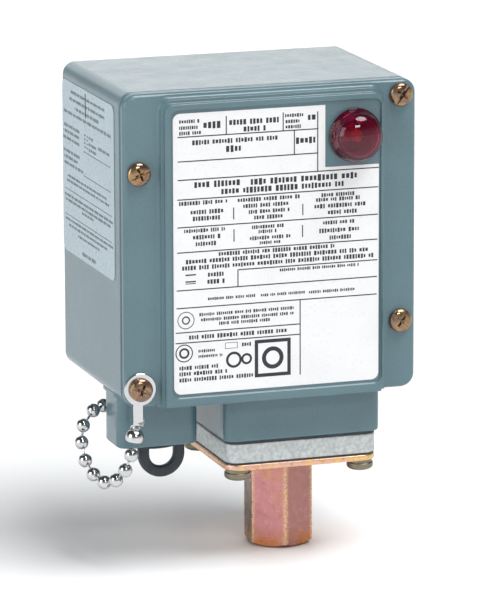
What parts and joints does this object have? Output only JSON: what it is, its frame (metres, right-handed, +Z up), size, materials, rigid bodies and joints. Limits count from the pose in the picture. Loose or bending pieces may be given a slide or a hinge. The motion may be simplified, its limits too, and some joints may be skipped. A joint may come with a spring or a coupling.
{
  "type": "pressure switch",
  "caption": "Diaphragm pressure switch in a cast enclosure with a lift-off cover, pilot light, conduit hub, ball chain and a hexagonal threaded pressure connector below.",
  "frame": {"origin": "centre of the four tapped mounting holes, on the enclosure's flat back face", "axes": "+Y out of the back face into the wall it is fastened to, +Z up along the enclosure's height, -Y out of the cover, +X to the right seen from the front"},
  "size_m": [0.117, 0.0871, 0.1731],
  "materials": {
    "grey_enamel": "smooth grey-blue enamel on a die casting",
    "black_rubber": "matt",
    "chromate_steel": "yellow and pink iridescent chromate",
    "printed_label": "satin film with black print",
    "red_lens": "clear red moulding",
    "moulded_black": "satin phenolic",
    "lamp_glow": "small neon lamp",
    "lead_red": "insulated lead",
    "nickel_plate": "bright nickel",
    "cast_zinc": "plain zinc casting",
    "dark_steel": "oiled dark steel",
    "machined_steel": "machined",
    "spring_steel": "oiled spring wire",
    "brass": "satin",
    "moulded_white": "moulded",
    "green_screw": "green passivated"
  },
  "bodies": {
    "housing": {"enclosure": "grey_enamel", "side_label": "printed_label", "rear_eyelet": "nickel_plate", "anchor_screw": "nickel_plate", "actuator_gasket": "black_rubber", "actuator_housing": "cast_zinc", "diaphragm": "black_rubber", "flange_plate": "chromate_steel", "pressure_port": "chromate_steel", "flange_screws": "dark_steel", "flange_lockwashers": "dark_steel", "rod_guide": "brass", "mechanism_frame": "cast_zinc", "frame_screws": "nickel_plate", "lever_pin": "machined_steel", "pin_clip": "spring_steel", "range_scale": "printed_label", "switch_case": "moulded_black", "fixed_contacts": "brass", "terminal_screws": "brass", "switch_mount_screws": "nickel_plate", "ground_screw": "green_screw", "range_spring": "spring_steel", "differential_spring": "spring_steel"},
    "cover": {"cover": "grey_enamel", "cover_gasket": "black_rubber", "cover_screws": "chromate_steel", "rating_label": "printed_label", "pilot_lens": "red_lens", "lens_gasket": "black_rubber", "lamp_socket": "moulded_black", "socket_nut": "nickel_plate", "neon_lamp": "lamp_glow", "lamp_leads": "lead_red", "front_eyelet": "nickel_plate"},
    "plug": {"conduit_plug": "black_rubber"},
    "piston": {"piston": "machined_steel", "push_rod": "machined_steel"},
    "lever": {"operating_lever": "machined_steel"},
    "plunger": {"switch_plunger": "moulded_white", "contact_bridge": "brass"},
    "range_screw": {"range_screw": "machined_steel"},
    "range_nut": {"range_nut": "brass"},
    "differential_screw": {"differential_screw": "machined_steel"},
    "differential_nut": {"differential_nut": "brass"},
    "bead_01": {"bead_01": "nickel_plate"},
    "bead_02": {"bead_02": "nickel_plate"},
    "bead_03": {"bead_03": "nickel_plate"},
    "bead_04": {"bead_04": "nickel_plate"},
    "bead_05": {"bead_05": "nickel_plate"},
    "bead_06": {"bead_06": "nickel_plate"},
    "bead_07": {"bead_07": "nickel_plate"},
    "bead_08": {"bead_08": "nickel_plate"},
    "bead_09": {"bead_09": "nickel_plate"},
    "bead_10": {"bead_10": "nickel_plate"},
    "bead_11": {"bead_11": "nickel_plate"},
    "bead_12": {"bead_12": "nickel_plate"}
  },
  "joints": [
    {"name": "cover_slide", "type": "slide", "parent": "housing", "child": "cover", "axis": [0, -1, 0], "range_m": [0, 0.024]},
    {"name": "plug_pull", "type": "slide", "parent": "housing", "child": "plug", "axis": [0, 0, -1], "range_m": [0, 0.018]},
    {"name": "piston_slide", "type": "slide", "parent": "housing", "child": "piston", "axis": [0, 0, 1], "range_m": [0, 0.001], "stiffness_N_per_m": 6000, "springref_m": -0.002, "deforming": ["range_spring", "differential_spring"]},
    {"name": "lever_swing", "type": "hinge", "parent": "housing", "child": "lever", "pos_m": [0.04, -0.0398, -0.041], "axis": [0, 1, 0], "range_deg": [0, 2.3]},
    {"name": "plunger_slide", "type": "slide", "parent": "housing", "child": "plunger", "axis": [0, 0, 1], "range_m": [0, 0.00255]},
    {"name": "range_screw_turn", "type": "hinge", "parent": "housing", "child": "range_screw", "pos_m": [0.0145, -0.0398, 0], "axis": [0, 0, 1], "range_deg": [-2160, 2160]},
    {"name": "range_nut_slide", "type": "slide", "parent": "housing", "child": "range_nut", "axis": [0, 0, 1], "range_m": [-0.0076, 0.0076], "deforming": ["range_spring"]},
    {"name": "differential_screw_turn", "type": "hinge", "parent": "housing", "child": "differential_screw", "pos_m": [-0.004, -0.0398, 0], "axis": [0, 0, 1], "range_deg": [-1080, 1080]},
    {"name": "differential_nut_slide", "type": "slide", "parent": "housing", "child": "differential_nut", "axis": [0, 0, 1], "range_m": [-0.00239, 0.00239], "deforming": ["differential_spring"]},
    {"name": "bead_01_swing", "type": "hinge", "parent": "cover", "child": "bead_01", "pos_m": [-0.04804, -0.07292, -0.06597], "axis": [0.9294, 0.2448, -0.2763], "range_deg": [0, 53.24]},
    {"name": "bead_02_swing", "type": "hinge", "parent": "cover", "child": "bead_02", "pos_m": [-0.04177, -0.07551, -0.06346], "axis": [0.8402, 0.3666, -0.3996], "range_deg": [0, 37.52]},
    {"name": "bead_03_swing", "type": "hinge", "parent": "cover", "child": "bead_03", "pos_m": [-0.01821, -0.07073, -0.06969], "axis": [0.3645, 0.677, -0.6394], "range_deg": [0, 24.76]},
    {"name": "bead_04_swing", "type": "hinge", "parent": "housing", "child": "bead_04", "pos_m": [-0.10029, -0.05183, -0.05944], "axis": [-0.4355, -0.7133, -0.5491], "range_deg": [0, 20.94]},
    {"name": "bead_05_swing", "type": "hinge", "parent": "housing", "child": "bead_05", "pos_m": [-0.0723, -0.0518, -0.06753], "axis": [-0.5709, -0.6728, -0.4705], "range_deg": [0, 48.06]},
    {"name": "bead_06_swing", "type": "hinge", "parent": "housing", "child": "bead_06", "pos_m": [-0.06242, -0.05175, -0.07265], "axis": [-0.4067, -0.7001, -0.5868], "range_deg": [0, 104.31]},
    {"name": "bead_07_swing", "type": "hinge", "parent": "housing", "child": "bead_07", "pos_m": [-0.06117, -0.04623, -0.06537], "axis": [-0.6907, -0.6969, -0.1933], "range_deg": [0, 61.22]},
    {"name": "bead_08_swing", "type": "hinge", "parent": "housing", "child": "bead_08", "pos_m": [-0.05699, -0.04221, -0.0669], "axis": [-0.6794, -0.6929, -0.2413], "range_deg": [0, 107.17]},
    {"name": "bead_09_swing", "type": "hinge", "parent": "housing", "child": "bead_09", "pos_m": [-0.05373, -0.03735, -0.06571], "axis": [0.6362, 0.7356, 0.2326], "range_deg": [0, 163.93]},
    {"name": "bead_10_swing", "type": "hinge", "parent": "housing", "child": "bead_10", "pos_m": [-0.04909, -0.03289, -0.06567], "axis": [-0.6361, -0.7352, -0.2343], "range_deg": [0, 74.58]},
    {"name": "bead_11_swing", "type": "hinge", "parent": "housing", "child": "bead_11", "pos_m": [-0.04217, -0.02722, -0.05636], "axis": [0.5219, 0.7769, -0.3522], "range_deg": [0, 16.87]},
    {"name": "bead_12_swing", "type": "hinge", "parent": "housing", "child": "bead_12", "pos_m": [-0.0369, -0.01972, -0.05839], "axis": [0.1689, 0.3039, -0.9376], "range_deg": [0, 7.38]}
  ],
  "couplings": [
    {"joint": "lever_swing", "follows": "piston_slide", "rad_per_m": 39.216},
    {"joint": "plunger_slide", "follows": "piston_slide", "ratio": 2.5098},
    {"joint": "range_screw_turn", "follows": "range_nut_slide", "rad_per_m": -4947.4},
    {"joint": "differential_screw_turn", "follows": "differential_nut_slide", "rad_per_m": -7854},
    {"joint": "bead_01_swing", "follows": "cover_slide", "rad_per_m": 38.683},
    {"joint": "bead_02_swing", "follows": "cover_slide", "rad_per_m": 27.251},
    {"joint": "bead_03_swing", "follows": "cover_slide", "rad_per_m": 17.97},
    {"joint": "bead_04_swing", "follows": "cover_slide", "rad_per_m": 15.191},
    {"joint": "bead_05_swing", "follows": "cover_slide", "rad_per_m": 34.914},
    {"joint": "bead_06_swing", "follows": "cover_slide", "rad_per_m": 75.823},
    {"joint": "bead_07_swing", "follows": "cover_slide", "rad_per_m": 44.485},
    {"joint": "bead_08_swing", "follows": "cover_slide", "rad_per_m": 77.901},
    {"joint": "bead_09_swing", "follows": "cover_slide", "rad_per_m": 119.18},
    {"joint": "bead_10_swing", "follows": "cover_slide", "rad_per_m": 54.198},
    {"joint": "bead_11_swing", "follows": "cover_slide", "rad_per_m": 12.232},
    {"joint": "bead_12_swing", "follows": "cover_slide", "rad_per_m": 5.3273}
  ]
}
